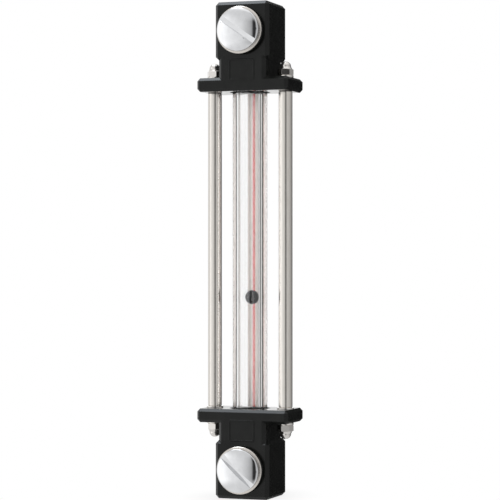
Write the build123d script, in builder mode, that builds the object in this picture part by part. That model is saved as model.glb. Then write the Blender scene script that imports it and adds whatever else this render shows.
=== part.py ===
"""Column oil level gauge for the wall of a tank.

Two moulded heads stand on hollow bolts, one above the other. A clear sight tube with a white
band and a red line joins them, a float ball rides in the tube, and two guard rods hold the
heads together. X runs across, the front faces -Y and Z is up. The origin is on the lower
bolt's axis, in the plane where the rear packings meet the tank. All sizes are in millimetres.
"""
from build123d import *
from math import cos, degrees, radians, sin, sqrt, tan
import os

# Heads: a block round the bolt, a neck, and a flange plate across the rods
bolt_pitch = 250.0
axis_to_front = 14.5
axis_to_back = 17.0
block_width = 32.5
block_outward = 16.8
block_inward = 16.4
block_chamfer = 1.9
neck_width = 28.4
neck_to_back = 15.0
neck_chamfer = 1.9
plate_length = 55.0
plate_to_back = 15.0
plate_thickness = 7.85
plate_chamfer = 1.7
bolt_to_plate_face = 34.2

# Raised frame on the front of each neck, round a bare field
frame_width = 15.4
frame_height = 12.2
frame_rib = 0.8
frame_rise = 0.35
frame_corner = 1.2
frame_to_bolt = 22.2

# Sight tube, its seals and the oil passage below and above it
tube_diameter = 20.0
tube_wall = 4.5
tube_end_chamfer = 0.4
tube_end_gap = 0.3
socket_clearance = 0.1
socket_floor_to_bolt = 18.0
passage_diameter = 6.0
seal_width = 1.5
seal_depth = 3.0
seal_sink = 0.3
seal_clearance = 0.01

# Colour band fused to the back of the tube, with the red line under it
band_width = 11.5
band_thickness = 0.3
band_end_gap = 0.3
line_width = 2.7
line_thickness = 0.15
band_angle = 88.7

# Float ball, which lies near the right wall of the bore
ball_diameter = 8.0
ball_wall_gap = 0.25
ball_angle = 20.0
ball_height = 98.0

# Guard rods with threaded stubs, cap nuts and washers
rod_diameter = 8.0
rod_to_plate_end = 5.9
rod_edge = 0.3
stub_diameter = 5.0
stub_edge = 0.5
stub_in_nut = 5.2
stub_hole_clearance = 0.25
washer_diameter = 9.2
washer_thickness = 1.2
washer_clearance = 0.15
seat_diameter = 9.6
seat_thickness = 0.8
nut_flats = 8.0
nut_hex_height = 3.8
nut_chamfer_angle = 30.0
nut_chamfer_inset = 0.2
nut_dome_radius = 3.2
nut_cone_height = 1.2
nut_bore_clearance = 0.05
nut_bore_spare = 0.5
nut_turns = {"upper_left": 0.0, "upper_right": 20.0, "lower_left": -6.0, "lower_right": 17.0}

# Hollow bolts with their washers and packings
bolt_diameter = 16.0
bolt_clearance = 0.05
bolt_end_float = 0.05
waist_diameter = 12.5
waist_length = 12.0
undercut_diameter = 13.5
undercut_length = 4.0
thread_length = 15.0
thread_chamfer = 1.5
drilling_diameter = 8.0
drilling_past_waist = 2.0
cross_hole_diameter = 6.0
cross_hole_count = 4
head_diameter = 24.8
head_edge_height = 2.6
head_height = 5.4
head_rounding = 0.7
slot_width = 3.0
slot_depth = 3.0
upper_slot_angle = -35.0
lower_slot_angle = -43.0
bolt_washer_diameter = 27.0
bolt_washer_thickness = 1.2
bolt_washer_edge = 0.25
packing_diameter = 26.0
packing_thickness = 3.0
packing_clearance = 0.2

# Places that follow from the sizes
back_y = -packing_thickness
tube_y = back_y - axis_to_back
front_y = tube_y - axis_to_front
plate_face = bolt_to_plate_face
plate_outside = plate_face - plate_thickness
upper_plate_face = bolt_pitch - plate_face
middle = Plane.XY.offset(bolt_pitch / 2)
tube_radius = tube_diameter / 2
bore_radius = tube_radius - tube_wall
seal_radius = tube_radius + seal_width
bolt_radius = bolt_diameter / 2
rod_offset = plate_length / 2 - rod_to_plate_end
washer_bore = stub_diameter / 2 + washer_clearance


def level(height):
    """Horizontal plane at a height, centred on the tube."""
    return Plane(origin=(0, tube_y, height))


def facing_front(y, height=0.0):
    """Upright plane at a depth, whose normal points to the front."""
    return Plane(origin=(0, y, height), x_dir=(1, 0, 0), z_dir=(0, -1, 0))


def save(piece, name):
    """Label a finished piece and write it."""
    piece.label = name
    export_step(piece, f"parts/{name}.step")


def ring(place, outer_radius, inner_radius, thickness, edge=0.0):
    """Flat ring that grows from a plane along its normal."""
    with BuildPart() as body:
        with BuildSketch(place):
            Circle(outer_radius)
            Circle(inner_radius, mode=Mode.SUBTRACT)
        extrude(amount=thickness)
        if edge:
            rims = body.edges().filter_by(GeomType.CIRCLE).sort_by(SortBy.RADIUS)
            chamfer(rims[-2:], edge)
    return body.part


def make_lower_head():
    """Moulded head: block, neck and plate in one, bored for the bolt, the tube and the rods."""
    with BuildPart() as plate:
        with BuildSketch(level(plate_outside)):
            with Locations((0, (plate_to_back - axis_to_front) / 2)):
                Rectangle(plate_length, axis_to_front + plate_to_back)
        extrude(amount=plate_thickness)
        chamfer(plate.edges(), plate_chamfer)

    with BuildPart() as head:
        with BuildSketch(level(-block_outward)):
            with Locations((0, (axis_to_back - axis_to_front) / 2)):
                Rectangle(block_width, axis_to_front + axis_to_back)
        extrude(amount=block_outward + block_inward)
        chamfer(head.edges(), block_chamfer)
        add(plate.part)

        # The neck is flush with both fronts, so it starts and ends inside their chamfers
        neck_start = block_inward - block_chamfer
        neck_end = plate_outside + plate_chamfer
        with BuildSketch(level(neck_start)) as neck:
            with Locations((0, (neck_to_back - axis_to_front) / 2)):
                Rectangle(neck_width, axis_to_front + neck_to_back)
            chamfer(neck.vertices(), neck_chamfer)
        extrude(amount=neck_end - neck_start)

        # Raised frame, left empty
        with BuildSketch(facing_front(front_y, frame_to_bolt)):
            RectangleRounded(frame_width, frame_height, frame_corner)
            offset(amount=-frame_rib, mode=Mode.SUBTRACT)
        extrude(amount=frame_rise)

        # Tube socket with the seal's recess at its mouth, and the passage down to the bolt
        with Locations(level(plate_face)):
            CounterBoreHole(
                radius=tube_radius + socket_clearance,
                counter_bore_radius=seal_radius,
                counter_bore_depth=seal_depth,
                depth=plate_face - socket_floor_to_bolt,
            )
            Hole(radius=passage_diameter / 2, depth=plate_face)
            with Locations((-rod_offset, 0), (rod_offset, 0)):
                Hole(radius=stub_diameter / 2 + stub_hole_clearance, depth=plate_thickness)

        # Cross bore for the bolt, right through
        with Locations(facing_front(front_y)):
            Hole(radius=bolt_radius + bolt_clearance, depth=axis_to_front + axis_to_back)
    return head.part


def make_bolt(height, slot_angle):
    """Hollow bolt with a slotted domed head, a waist for the oil and a threaded end."""
    head_base = front_y - packing_thickness - bolt_washer_thickness - bolt_end_float
    crown_y = head_base - head_height
    edge_y = head_base - head_edge_height
    waist_start = tube_y - waist_length / 2
    waist_end = tube_y + waist_length / 2
    axis = Axis((0, 0, height), (0, 1, 0))

    with BuildPart() as bolt:
        with BuildSketch(Plane.XY.offset(height)):
            with BuildLine():
                TangentArc((0, crown_y), (head_diameter / 2, edge_y), tangent=(1, 0))
                Polyline(
                    (head_diameter / 2, edge_y),
                    (head_diameter / 2, head_base),
                    (bolt_radius, head_base),
                    (bolt_radius, waist_start),
                    (waist_diameter / 2, waist_start),
                    (waist_diameter / 2, waist_end),
                    (bolt_radius, waist_end),
                    (bolt_radius, -undercut_length),
                    (undercut_diameter / 2, -undercut_length),
                    (undercut_diameter / 2, 0),
                    (bolt_radius, 0),
                    (bolt_radius, thread_length - thread_chamfer),
                    (bolt_radius - thread_chamfer, thread_length),
                    (0, thread_length),
                    (0, crown_y),
                )
            make_face()
        revolve(axis=axis)
        rims = bolt.edges().filter_by(Plane.XZ).sort_by(SortBy.RADIUS)[-2:]
        fillet(rims.sort_by(Axis.Y)[0], head_rounding)

        # Screwdriver slot across the dome
        with BuildSketch(facing_front(crown_y, height)):
            Rectangle(2 * head_diameter, slot_width, rotation=slot_angle)
        extrude(amount=-slot_depth, mode=Mode.SUBTRACT)

        # Drilling from the threaded end to the waist, and the cross holes that meet it
        with BuildSketch(facing_front(thread_length, height)):
            Circle(drilling_diameter / 2)
        extrude(amount=thread_length - tube_y + drilling_past_waist, mode=Mode.SUBTRACT)
        for turn in range(cross_hole_count):
            angle = radians(turn * 360 / cross_hole_count)
            outward = (sin(angle), 0, cos(angle))
            with BuildSketch(Plane(origin=(0, tube_y, height), x_dir=(0, 1, 0), z_dir=outward)):
                Circle(cross_hole_diameter / 2)
            extrude(amount=waist_diameter, mode=Mode.SUBTRACT)
    return bolt.part


def make_rod(x):
    """Guard rod whose threaded stubs pass through both plates into the cap nuts."""
    low = plate_face + seat_thickness
    outside = plate_thickness + washer_thickness + stub_in_nut
    with BuildPart() as rod:
        with BuildSketch(Plane(origin=(x, tube_y, low))):
            Circle(rod_diameter / 2)
        extrude(amount=upper_plate_face - low)
        chamfer(rod.edges(), rod_edge)
        with BuildSketch(Plane(origin=(x, tube_y, plate_face - outside))):
            Circle(stub_diameter / 2)
        extrude(amount=upper_plate_face - plate_face + 2 * outside)
        tips = rod.edges().sort_by(Axis.Z)
        chamfer([tips[0], tips[-1]], stub_edge)
    return rod.part


def make_cap_nut(place):
    """Domed cap nut that stands on a plane and grows along its normal."""
    side = Plane(origin=place.origin, x_dir=place.x_dir, z_dir=-place.y_dir)
    axis = Axis(place.origin, place.z_dir)
    corner = nut_flats / sqrt(3)
    face_radius = nut_flats / 2 - nut_chamfer_inset
    fall = (corner - face_radius) * tan(radians(nut_chamfer_angle))
    dome_base = nut_hex_height + nut_cone_height
    with BuildPart() as nut:
        with BuildSketch(place):
            RegularPolygon(radius=nut_flats / 2, side_count=6, major_radius=False)
        extrude(amount=nut_hex_height)
        with BuildSketch(side):
            Polygon(
                (0, 0),
                (face_radius, 0),
                (corner, fall),
                (corner, nut_hex_height - fall),
                (face_radius, nut_hex_height),
                (0, nut_hex_height),
                align=None,
            )
        revolve(axis=axis, mode=Mode.INTERSECT)
        with BuildSketch(side):
            with BuildLine():
                Polyline(
                    (0, dome_base + nut_dome_radius),
                    (0, nut_hex_height),
                    (face_radius, nut_hex_height),
                    (nut_dome_radius, dome_base),
                )
                CenterArc((0, dome_base), nut_dome_radius, 0, 90)
            make_face()
        revolve(axis=axis)
        with BuildSketch(place):
            Circle(stub_diameter / 2 + nut_bore_clearance)
        extrude(amount=stub_in_nut + nut_bore_spare, mode=Mode.SUBTRACT)
    return nut.part


def make_stripe(inner_radius, thickness, width):
    """Strip that follows the outside of the tube, centred on the band's angle."""
    sweep_angle = degrees(width / inner_radius)
    first = band_angle - sweep_angle / 2
    with BuildPart() as stripe:
        with BuildSketch(level(plate_face + band_end_gap)):
            with BuildLine():
                inside = CenterArc((0, 0), inner_radius, first, sweep_angle)
                outside = CenterArc((0, 0), inner_radius + thickness, first, sweep_angle)
                Line(inside @ 0, outside @ 0)
                Line(inside @ 1, outside @ 1)
            make_face()
        extrude(amount=upper_plate_face - plate_face - 2 * band_end_gap)
    return stripe.part


os.makedirs("parts", exist_ok=True)

# Heads
lower_head = make_lower_head()
save(lower_head, "lower_head")
save(mirror(lower_head, about=middle), "upper_head")

# Sight tube, standing on the lower socket's floor
with BuildPart() as sight_tube:
    with BuildSketch(level(socket_floor_to_bolt)):
        Circle(tube_radius)
        Circle(bore_radius, mode=Mode.SUBTRACT)
    extrude(amount=bolt_pitch - 2 * socket_floor_to_bolt - tube_end_gap)
    rims = sight_tube.edges().filter_by(GeomType.CIRCLE).sort_by(SortBy.RADIUS)
    chamfer(rims[-2:], tube_end_chamfer)
save(sight_tube.part, "sight_tube")

# Tube seals in their recesses
seal_thickness = seal_depth - seal_sink
lower_seal = ring(
    level(plate_face - seal_depth),
    seal_radius - seal_clearance,
    tube_radius + seal_clearance,
    seal_thickness,
)
save(lower_seal, "lower_tube_seal")
save(mirror(lower_seal, about=middle), "upper_tube_seal")

# Colour band with a groove for the red line
red_line = make_stripe(tube_radius, line_thickness, line_width)
with BuildPart() as white_band:
    add(make_stripe(tube_radius, band_thickness, band_width))
    add(red_line, mode=Mode.SUBTRACT)
save(white_band.part, "white_band")
save(red_line, "red_line")

# Float ball
ball_drift = bore_radius - ball_diameter / 2 - ball_wall_gap
with BuildPart() as float_ball:
    ball_x = ball_drift * cos(radians(ball_angle))
    ball_y = tube_y + ball_drift * sin(radians(ball_angle))
    with Locations((ball_x, ball_y, ball_height)):
        Sphere(ball_diameter / 2)
save(float_ball.part, "float_ball")

# Rods, seat washers, plate washers and cap nuts
for side_name, x in (("left", -rod_offset), ("right", rod_offset)):
    save(make_rod(x), f"{side_name}_rod")
    seat_place = Plane(origin=(x, tube_y, plate_face))
    save(ring(seat_place, seat_diameter / 2, washer_bore, seat_thickness), f"{side_name}_rod_seat")
    for end_name, height, up in (
        ("upper", bolt_pitch - plate_outside, 1),
        ("lower", plate_outside, -1),
    ):
        corner_name = f"{end_name}_{side_name}"
        turn = radians(nut_turns[corner_name])
        turned = (cos(turn), sin(turn), 0)
        washer_place = Plane(origin=(x, tube_y, height), x_dir=turned, z_dir=(0, 0, up))
        nut_place = washer_place.offset(washer_thickness)
        washer = ring(washer_place, washer_diameter / 2, washer_bore, washer_thickness)
        save(washer, f"{corner_name}_washer")
        save(make_cap_nut(nut_place), f"{corner_name}_cap_nut")

# Hollow bolts, each with a front packing, a washer and a rear packing
packing_bore = bolt_radius + packing_clearance
for end_name, height, slot_angle in (
    ("upper", bolt_pitch, upper_slot_angle),
    ("lower", 0.0, lower_slot_angle),
):
    front_packing = ring(
        facing_front(front_y, height), packing_diameter / 2, packing_bore, packing_thickness
    )
    save(front_packing, f"{end_name}_front_packing")
    rear_packing = ring(facing_front(0, height), packing_diameter / 2, packing_bore, packing_thickness)
    save(rear_packing, f"{end_name}_rear_packing")
    bolt_washer = ring(
        facing_front(front_y - packing_thickness, height),
        bolt_washer_diameter / 2,
        packing_bore,
        bolt_washer_thickness,
        bolt_washer_edge,
    )
    save(bolt_washer, f"{end_name}_bolt_washer")
    save(make_bolt(height, slot_angle), f"{end_name}_bolt")
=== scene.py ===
"""Looks of the column oil level gauge: materials, cut threads, studio and camera.

Lengths are in metres, in the same frame as the solids: X across, the front faces -Y, Z up.
"""
from math import cos, pi, radians, sin, tau

import bpy
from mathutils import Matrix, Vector


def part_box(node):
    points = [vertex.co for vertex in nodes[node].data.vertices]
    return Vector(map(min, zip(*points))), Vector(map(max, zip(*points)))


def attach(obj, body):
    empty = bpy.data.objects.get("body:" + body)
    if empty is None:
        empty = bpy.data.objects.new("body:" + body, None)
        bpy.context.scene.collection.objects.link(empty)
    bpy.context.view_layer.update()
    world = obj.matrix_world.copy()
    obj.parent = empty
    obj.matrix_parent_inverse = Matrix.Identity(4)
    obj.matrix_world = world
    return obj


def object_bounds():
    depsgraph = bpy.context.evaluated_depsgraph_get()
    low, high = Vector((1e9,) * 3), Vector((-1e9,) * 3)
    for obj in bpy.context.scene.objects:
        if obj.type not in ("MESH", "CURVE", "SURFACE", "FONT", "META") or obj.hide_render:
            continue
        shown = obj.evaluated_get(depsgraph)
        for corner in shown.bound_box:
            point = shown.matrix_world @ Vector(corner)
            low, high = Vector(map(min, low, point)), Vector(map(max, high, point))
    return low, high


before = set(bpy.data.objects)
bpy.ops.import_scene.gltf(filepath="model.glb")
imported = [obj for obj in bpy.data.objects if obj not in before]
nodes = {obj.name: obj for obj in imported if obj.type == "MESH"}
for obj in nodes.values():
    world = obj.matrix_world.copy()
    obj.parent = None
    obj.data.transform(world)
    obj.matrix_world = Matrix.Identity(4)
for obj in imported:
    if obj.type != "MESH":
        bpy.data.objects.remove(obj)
cad_low, cad_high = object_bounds()
ends = ("upper", "lower")
sides = ("left", "right")
mm = 0.001
white = (1.0, 1.0, 1.0, 1.0)

# Camera, as fitted to the photograph; only the sensor's width is in millimetres
camera_azimuth = 19.9
camera_distance = 1178 * mm
camera_height = 119.5 * mm
aim_above_camera = 5.6 * mm
focal_pixels = 2047.0
frame_pixels = 500.0
sensor_width = 36.0
clip_near = 0.05
clip_far = 100.0

# Studio walls: azimuth in degrees from the front towards the right, and how bright the wall is
# there, in what is polished and through the glass
full_turn = 360
wall_levels = (
    (-180, 0.04), (-170, 0.04), (-166, 1.4), (-156, 1.3), (-148, 0.9), (-122, 1.0), (-104, 0.72),
    (-84, 0.72), (-72, 1.25), (-52, 1.2), (-38, 1.0), (-20, 0.88), (-4, 0.77), (10, 0.54),
    (17, 0.38), (20.5, 0.03), (29, 0.03), (33, 0.5), (48, 0.65), (84, 0.58), (104, 0.45),
    (142, 0.32), (150, 0.06), (158, 0.03), (180, 0.03),
)
glass_levels = (
    (-180, 0.03), (-158, 0.03), (-155, 0.87), (-134, 0.87), (-128, 0.95), (-82, 0.9), (-72, 2.0),
    (-50, 2.2), (-5, 3.0), (8, 2.5), (16, 1.1), (20.5, 0.03), (36, 0.03), (39, 2.4), (58, 2.4),
    (66, 0.6), (98, 0.6), (102, 0.9), (118, 0.9), (128, 0.25), (145, 0.15), (149, 1.5), (156, 1.4),
    (161, 0.6), (166, 0.4), (174, 0.1), (180, 0.03),
)

# Starts and ends of fades are heights of a view's direction, 0 level and 1 straight up. Steeply
# up and down, the walls fade by a share into one level.
steep_level = 0.72
steep_share = 0.85
steep_start = 0.35
steep_full = 0.62
ceiling_level = 0.3
ceiling_start = 0.7
ceiling_full = 0.82

# Cool light panel overhead on the left: its direction, and where it starts and is full as the
# cosine of the angle to it
panel_side = (-0.34, 0.03, 0.94)
panel_tint = (0.88, 0.94, 1.0, 1.0)
panel_level = 4.6
panel_start = 0.95
panel_full = 0.985

# Light on what is matt
even_level = 0.75

# Softboxes: azimuth and elevation in degrees, distance and width in metres, power in watts
softboxes = {
    "left_softbox": (-50, 25, 1.3, 0.8, 9),
    "top_softbox": (10, 75, 1.2, 0.8, 6),
}

# Floor
floor_reach = 30.0
floor_grey = (225, 225, 225)
floor_roughness = 0.8
shadow_grey = (228, 228, 228)
shadow_reach = 25 * mm
shadow_samples = 16

# Bolt threads: a groove from just before the tank's face to past the bolt's rear end. Its mouth
# lies outside the shank by mouth_lift_share of the depth, and half its width there is
# mouth_half_share of the pitch.
shank_radius = 8 * mm
thread_start = -1 * mm
thread_overrun = 1 * mm
thread_pitch = 2.0 * mm
thread_depth = 1.2 * mm
thread_steps = 48
mouth_lift_share = 0.2
mouth_half_share = 0.45

# The colour band stands a hair behind the glass
hair_gap = 0.02 * mm

# Materials: between which values most of a noise lies, and how far it is stretched along X, Y, Z
noise_low = 0.3
noise_high = 0.7
even_marks = (1, 1, 1)
fused_marks = (1, 1, 6)
drawn_marks = (1, 1, 60)
edge_samples = 6
steel_spread = 0.04
glass_index = 1.47

# Curve between screen values and light
screen_full = 255
curve_foot = 0.04045
foot_slope = 12.92
curve_offset = 0.055
curve_power = 2.4


def socket(node, name):
    """Input socket of a node, by its name with spaces as underscores."""
    return node.inputs[name.replace("_", " ")]


def srgb(*values):
    """Linear colour of three 0 to 255 screen values."""
    linear = []
    for value in values:
        share = value / screen_full
        if share <= curve_foot:
            linear.append(share / foot_slope)
        else:
            linear.append(((share + curve_offset) / (1 + curve_offset)) ** curve_power)
    return (*linear, 1.0)


class Nodes:
    """A node tree, with short calls for what the materials and the world build in it."""

    def __init__(self, tree):
        self.tree = tree

    def node(self, kind, **settings):
        """Adds a node; settings name its properties, or its sockets with spaces as underscores."""
        made = self.tree.nodes.new(kind)
        for name, value in settings.items():
            if hasattr(made, name):
                setattr(made, name, value)
            else:
                socket(made, name).default_value = value
        return made

    def link(self, source, target):
        """Joins an output to an input."""
        self.tree.links.new(source, target)

    def math(self, operation, first, second=None):
        """Result of an operation on outputs or plain numbers."""
        made = self.node("ShaderNodeMath", operation=operation)
        for index, value in enumerate((first, second)):
            if isinstance(value, (int, float)):
                made.inputs[index].default_value = value
            elif value is not None:
                self.link(value, made.inputs[index])
        return made.outputs[0]

    def mix(self, kind, factor, first, second):
        """Result between two values, each an output or a constant, by a factor."""
        made = self.node("ShaderNodeMix", data_type=kind)
        self.link(factor, made.inputs["Factor"])
        for name, value in (("A", first), ("B", second)):
            if isinstance(value, bpy.types.NodeSocket):
                self.link(value, made.inputs[name])
            else:
                made.inputs[name].default_value = value
        return made.outputs["Result"]

    def choose(self, factor, first, second):
        """First shader or the second, by a factor of 0 or 1."""
        made = self.node("ShaderNodeMixShader")
        for index, value in enumerate((factor, first, second)):
            self.link(value, made.inputs[index])
        return made.outputs["Shader"]

    def ramp(self, source, low, high, start=noise_low, end=noise_high, smooth=False):
        """Maps a value from start..end to low..high."""
        spread = self.node(
            "ShaderNodeMapRange", From_Min=start, From_Max=end, To_Min=low, To_Max=high
        )
        if smooth:
            spread.interpolation_type = "SMOOTHSTEP"
        self.link(source, spread.inputs["Value"])
        return spread.outputs["Result"]

    def levels(self, turn, stops):
        """Brightness at a share of a full turn, from stops of an azimuth and a level."""
        shades = self.node("ShaderNodeValToRGB")
        self.link(turn, shades.inputs["Fac"])
        elements = shades.color_ramp.elements
        brightest = max(level for angle, level in stops)
        for index, (angle, level) in enumerate(stops):
            position = (angle + full_turn / 2) / full_turn
            if index < len(elements):
                stop = elements[index]
                stop.position = position
            else:
                stop = elements.new(position)
            share = level / brightest
            stop.color = (share, share, share, 1)
        return self.math("MULTIPLY", shades.outputs["Color"], brightest)


class Shader(Nodes):
    """A new material with its main shader at hand."""

    def __init__(self, name):
        self.material = bpy.data.materials.new(name)
        self.material.use_nodes = True
        super().__init__(self.material.node_tree)
        self.main = self.tree.nodes["Principled BSDF"]

    def set(self, **sockets):
        """Sets sockets of the main shader by name, with spaces as underscores."""
        for name, value in sockets.items():
            socket(self.main, name).default_value = value

    def noise(self, size, stretch=even_marks, detail=3.0):
        """Noise in the piece's own metres, with features of about a size, stretched by axis."""
        place = self.node("ShaderNodeTexCoord")
        scale = self.node("ShaderNodeMapping", Scale=[1 / value for value in stretch])
        cloud = self.node("ShaderNodeTexNoise", Scale=1 / size, Detail=detail)
        self.link(place.outputs["Object"], scale.inputs["Vector"])
        self.link(scale.outputs["Vector"], cloud.inputs["Vector"])
        return cloud.outputs["Fac"]

    def tint(self, source, dark, light):
        """Colours the surface between two colours by a noise."""
        colour = self.mix("RGBA", self.ramp(source, 0, 1), dark, light)
        self.link(colour, self.main.inputs["Base Color"])

    def roughness(self, source, low, high):
        """Varies the roughness by a noise."""
        self.link(self.ramp(source, low, high), self.main.inputs["Roughness"])

    def bump(self, source, depth, edge=0.0):
        """Bumps the surface by a noise, over edges softened by a small radius."""
        relief = self.node("ShaderNodeBump", Distance=depth, Strength=1.0)
        self.link(source, relief.inputs["Height"])
        if edge:
            softened = self.node("ShaderNodeBevel", samples=edge_samples, Radius=edge)
            self.link(softened.outputs["Normal"], relief.inputs["Normal"])
        self.link(relief.outputs["Normal"], self.main.inputs["Normal"])


def black_nylon():
    """Semi-gloss moulded nylon with a faint grain."""
    shader = Shader("moulded_nylon")
    shader.set(Specular_IOR_Level=0.25)
    shader.tint(shader.noise(size=6 * mm), dark=srgb(12, 13, 12), light=srgb(19, 20, 19))
    shader.roughness(shader.noise(size=3 * mm), low=0.15, high=0.2)
    shader.bump(shader.noise(size=0.35 * mm, detail=4), depth=0.006 * mm, edge=0.35 * mm)
    return shader.material


def chromed_bolt():
    """Polished plating."""
    shader = Shader("polished_plating")
    shader.set(Metallic=1.0)
    shader.tint(shader.noise(size=4 * mm), dark=srgb(228, 229, 231), light=srgb(238, 239, 241))
    shader.roughness(shader.noise(size=1.5 * mm), low=0.04, high=0.08)
    shader.bump(shader.noise(size=2.5 * mm, detail=1), depth=0.002 * mm, edge=0.15 * mm)
    return shader.material


def stainless(name, dark, light, roughness, stretch=even_marks):
    """Bright stainless steel with fine marks, which may be drawn out along one axis."""
    shader = Shader(name)
    shader.set(Metallic=1.0)
    marks = shader.noise(size=0.12 * mm, stretch=stretch, detail=4)
    shader.tint(marks, dark, light)
    shader.roughness(marks, low=roughness - steel_spread, high=roughness + steel_spread)
    shader.bump(marks, depth=0.001 * mm, edge=0.12 * mm)
    return shader.material


def clear_glass():
    """Clear drawn glass."""
    shader = Shader("drawn_glass")
    shader.set(IOR=glass_index, Transmission_Weight=1.0, Base_Color=white)
    shader.roughness(shader.noise(size=9 * mm), low=0.0, high=0.015)
    shader.bump(shader.noise(size=5 * mm, stretch=drawn_marks, detail=1), depth=0.0015 * mm)
    return shader.material


def enamel(name, dark, light):
    """Colour fused on the back of the glass."""
    shader = Shader(name)
    shader.set(Roughness=0.35)
    shader.tint(shader.noise(size=0.8 * mm, stretch=fused_marks), dark, light)
    return shader.material


def float_plastic():
    """Dark satin plastic of the ball."""
    shader = Shader("float_plastic")
    shader.set(Specular_IOR_Level=0.15)
    shader.tint(shader.noise(size=0.5 * mm), dark=srgb(34, 34, 36), light=srgb(44, 44, 46))
    shader.roughness(shader.noise(size=1 * mm), low=0.25, high=0.35)
    shader.bump(shader.noise(size=0.4 * mm), depth=0.01 * mm)
    return shader.material


def black_rubber():
    """Matt nitrile rubber."""
    shader = Shader("packing_rubber")
    shader.tint(shader.noise(size=0.8 * mm), dark=srgb(14, 14, 14), light=srgb(24, 24, 24))
    shader.roughness(shader.noise(size=0.6 * mm), low=0.6, high=0.75)
    shader.bump(shader.noise(size=0.25 * mm), depth=0.02 * mm, edge=0.2 * mm)
    return shader.material


def dress(material, *names):
    """Gives CAD nodes a material."""
    for name in names:
        slots = nodes[name].data.materials
        slots.clear()
        slots.append(material)


def dress_gauge():
    """Gives every CAD node its material."""
    nylon = black_nylon()
    rubber = black_rubber()
    plating = chromed_bolt()
    drawn = stainless(
        "drawn_bar", srgb(218, 213, 206), srgb(234, 230, 225), roughness=0.16, stretch=drawn_marks
    )
    turned = stainless("turned_steel", srgb(222, 218, 213), srgb(238, 235, 232), roughness=0.08)
    plated = stainless("plated_washer", srgb(214, 208, 201), srgb(228, 223, 217), roughness=0.26)
    dress(clear_glass(), "sight_tube")
    dress(enamel("fused_white", srgb(238, 226, 219), srgb(245, 235, 229)), "white_band")
    dress(enamel("fused_red", srgb(216, 78, 73), srgb(224, 90, 85)), "red_line")
    dress(float_plastic(), "float_ball")
    for end in ends:
        dress(nylon, f"{end}_head")
        dress(plating, f"{end}_bolt")
        dress(plated, f"{end}_bolt_washer")
        dress(rubber, f"{end}_front_packing", f"{end}_rear_packing", f"{end}_tube_seal")
        for side in sides:
            dress(turned, f"{end}_{side}_washer", f"{end}_{side}_cap_nut")
    for side in sides:
        dress(drawn, f"{side}_rod")
        dress(turned, f"{side}_rod_seat")


def part_band_from_glass():
    """Moves the colour band's faces back a little, so that they don't coincide with the glass."""
    for name in ("white_band", "red_line"):
        shift = nodes[name].modifiers.new("hair_gap", "DISPLACE")
        shift.direction = "Y"
        shift.mid_level = 0.0
        shift.strength = hair_gap


def thread_cutter(name, height, radius, start, end):
    """Right-hand helical groove with sharp flanks, closed at both ends, to cut a thread with."""
    count = int((end - start) / thread_pitch * thread_steps)
    half = thread_pitch * mouth_half_share
    mouth = radius + thread_depth * mouth_lift_share
    section = ((radius - thread_depth, 0.0), (mouth, half), (mouth, -half))
    corners = len(section)
    vertices = []
    for step in range(count + 1):
        angle = tau * step / thread_steps
        along = start + thread_pitch * step / thread_steps
        for reach, shift in section:
            vertices.append((reach * cos(angle), along + shift, height - reach * sin(angle)))
    faces = []
    for step in range(count):
        near = corners * step
        far = near + corners
        for side in range(corners):
            other = (side + 1) % corners
            faces.append((near + side, near + other, far + other, far + side))
    last = corners * count
    faces.append((0, 2, 1))
    faces.append((last, last + 1, last + 2))
    mesh = bpy.data.meshes.new(name)
    mesh.from_pydata(vertices, [], faces)
    cutter = bpy.data.objects.new(name, mesh)
    bpy.context.scene.collection.objects.link(cutter)
    cutter.hide_render = True
    cutter.hide_viewport = True
    return cutter


def cut_threads():
    """Cuts the threads into the bolts' rear ends."""
    for end in ends:
        low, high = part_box(f"{end}_bolt")
        height = (low.z + high.z) / 2
        stop = high.y + thread_overrun
        cutter = thread_cutter(f"{end}_thread_cutter", height, shank_radius, thread_start, stop)
        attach(cutter, f"{end}_bolt")
        cut = nodes[f"{end}_bolt"].modifiers.new("thread", "BOOLEAN")
        cut.operation = "DIFFERENCE"
        cut.solver = "EXACT"
        cut.object = cutter


def make_floor():
    """Wide pale floor that the lower head's flat foot stands on."""
    mesh = bpy.data.meshes.new("floor")
    corners = ((-1, -1), (1, -1), (1, 1), (-1, 1))
    vertices = [(x * floor_reach, y * floor_reach, cad_low.z) for x, y in corners]
    mesh.from_pydata(vertices, [], [(0, 1, 2, 3)])
    floor = bpy.data.objects.new("floor", mesh)
    bpy.context.scene.collection.objects.link(floor)
    floor.visible_glossy = False
    floor.visible_transmission = False

    # The camera sees white with a faint shadow; all other rays meet a plain grey floor
    shader = Shader("studio_floor")
    shader.set(Base_Color=srgb(*floor_grey), Roughness=floor_roughness)
    rays = shader.node("ShaderNodeLightPath")
    open_sky = shader.node(
        "ShaderNodeAmbientOcclusion", samples=shadow_samples, Distance=shadow_reach
    )
    colour = shader.mix("RGBA", open_sky.outputs["AO"], srgb(*shadow_grey), white)
    backdrop = shader.node("ShaderNodeEmission", Strength=1.0)
    shader.link(colour, backdrop.inputs["Color"])
    surface = shader.choose(
        rays.outputs["Is Camera Ray"], shader.main.outputs["BSDF"], backdrop.outputs["Emission"]
    )
    shader.link(surface, shader.tree.nodes["Material Output"].inputs["Surface"])
    mesh.materials.append(shader.material)


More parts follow.
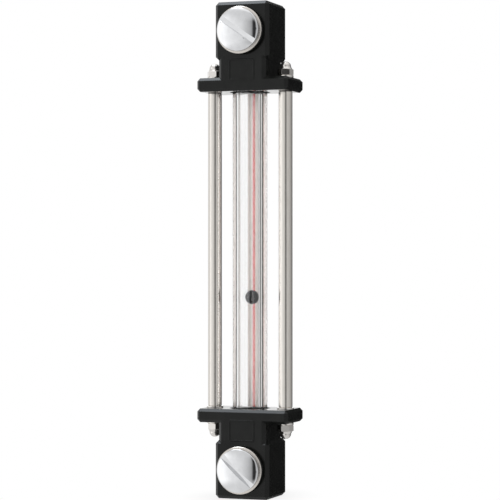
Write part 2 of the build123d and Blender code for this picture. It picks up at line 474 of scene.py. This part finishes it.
def make_world():
    """White background; even light on what is matt; walls of a photo studio in what shines."""
    world = bpy.data.worlds.new("studio")
    bpy.context.scene.world = world
    world.use_nodes = True
    world.node_tree.nodes.clear()
    sky = Nodes(world.node_tree)
    rays = sky.node("ShaderNodeLightPath")
    direction = sky.node("ShaderNodeTexCoord").outputs["Generated"]
    parts = sky.node("ShaderNodeSeparateXYZ")
    sky.link(direction, parts.inputs["Vector"])
    across, along, height = parts.outputs

    # Walls by azimuth, with an even level steeply up and down
    azimuth = sky.math("ARCTAN2", across, sky.math("MULTIPLY", along, -1.0))
    turn = sky.ramp(azimuth, 0, 1, -pi, pi)
    behind_glass = sky.levels(turn, glass_levels)
    steepness = sky.math("ABSOLUTE", height)
    steep = sky.ramp(steepness, 0, steep_share, steep_start, steep_full, smooth=True)
    walls = sky.mix("FLOAT", steep, sky.levels(turn, wall_levels), steep_level)

    # Ceiling with the light panel
    ceiling = sky.ramp(height, 0, ceiling_level, ceiling_start, ceiling_full, smooth=True)
    toward = sky.node("ShaderNodeVectorMath", operation="DOT_PRODUCT")
    toward.inputs[1].default_value = panel_side
    sky.link(direction, toward.inputs[0])
    inside = sky.ramp(toward.outputs["Value"], 0, 1, panel_start, panel_full, smooth=True)
    overhead = sky.math("ADD", ceiling, sky.math("MULTIPLY", inside, panel_level))
    polished = sky.math("ADD", walls, overhead)

    # What each kind of ray meets
    studio = sky.node("ShaderNodeBackground")
    level = sky.mix("FLOAT", rays.outputs["Is Transmission Ray"], polished, behind_glass)
    sky.link(level, studio.inputs["Strength"])
    sky.link(sky.mix("RGBA", inside, white, panel_tint), studio.inputs["Color"])
    even = sky.node("ShaderNodeBackground", Color=white, Strength=even_level)
    backdrop = sky.node("ShaderNodeBackground", Color=white, Strength=1.0)
    shiny = sky.math("MAXIMUM", rays.outputs["Is Glossy Ray"], rays.outputs["Is Transmission Ray"])
    lighting = sky.choose(shiny, even.outputs["Background"], studio.outputs["Background"])
    surface = sky.choose(rays.outputs["Is Camera Ray"], lighting, backdrop.outputs["Background"])
    sky.link(surface, sky.node("ShaderNodeOutputWorld").inputs["Surface"])


def make_softbox(name, azimuth, elevation, distance, size, power):
    """Square area lamp aimed at the gauge's middle."""
    middle = (cad_low + cad_high) / 2
    turn, tilt = radians(azimuth), radians(elevation)
    outward = Vector((sin(turn) * cos(tilt), -cos(turn) * cos(tilt), sin(tilt)))
    light = bpy.data.lights.new(name, "AREA")
    light.shape = "SQUARE"
    light.size = size
    light.energy = power
    lamp = bpy.data.objects.new(name, light)
    lamp.location = middle + outward * distance
    lamp.rotation_mode = "QUATERNION"
    lamp.rotation_quaternion = outward.to_track_quat("Z", "Y")
    lamp.visible_glossy = False
    lamp.visible_transmission = False
    bpy.context.scene.collection.objects.link(lamp)


def make_camera():
    """Camera at the photograph's azimuth, height and distance from the tube's axis."""
    turn = radians(camera_azimuth)
    low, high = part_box("sight_tube")
    middle = (low + high) / 2
    data = bpy.data.cameras.new("camera")
    data.sensor_width = sensor_width
    data.lens = focal_pixels / frame_pixels * sensor_width
    data.clip_start = clip_near
    data.clip_end = clip_far
    camera = bpy.data.objects.new("camera", data)
    camera.location = (
        middle.x + camera_distance * sin(turn),
        middle.y - camera_distance * cos(turn),
        camera_height,
    )
    aim = Vector((middle.x, middle.y, camera_height + aim_above_camera))
    camera.rotation_mode = "QUATERNION"
    camera.rotation_quaternion = (camera.location - aim).to_track_quat("Z", "Y")
    bpy.context.scene.collection.objects.link(camera)
    bpy.context.scene.camera = camera


dress_gauge()
part_band_from_glass()
cut_threads()
make_floor()
make_world()
for name, settings in softboxes.items():
    make_softbox(name, *settings)
make_camera()
bpy.context.scene.view_settings.view_transform = "Standard"
